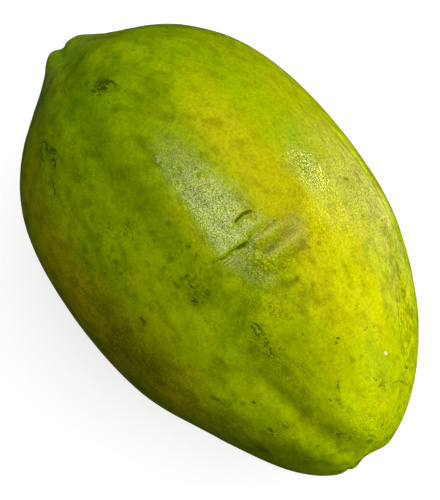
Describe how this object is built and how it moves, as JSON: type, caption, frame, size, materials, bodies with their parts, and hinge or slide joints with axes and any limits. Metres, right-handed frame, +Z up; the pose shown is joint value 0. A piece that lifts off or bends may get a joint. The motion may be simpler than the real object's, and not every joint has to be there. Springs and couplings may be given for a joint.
{
  "type": "papaya",
  "caption": "Whole ripening papaya lying on its side: a blunt egg-shaped fruit with shallow lengthwise ribs, a stem scar and a small off-centre tip.",
  "frame": {"origin": "bottom centre of the fruit's box, on the surface that it rests on", "axes": "+X along the fruit from the stem end to the blossom end, +Z up from the resting surface"},
  "size_m": [0.22, 0.1386, 0.1375],
  "materials": {
    "papaya_skin": "waxy papaya rind, green turning yellow, satin with a soft shine"
  },
  "bodies": {
    "root": {"papaya": "papaya_skin"}
  },
  "joints": []
}
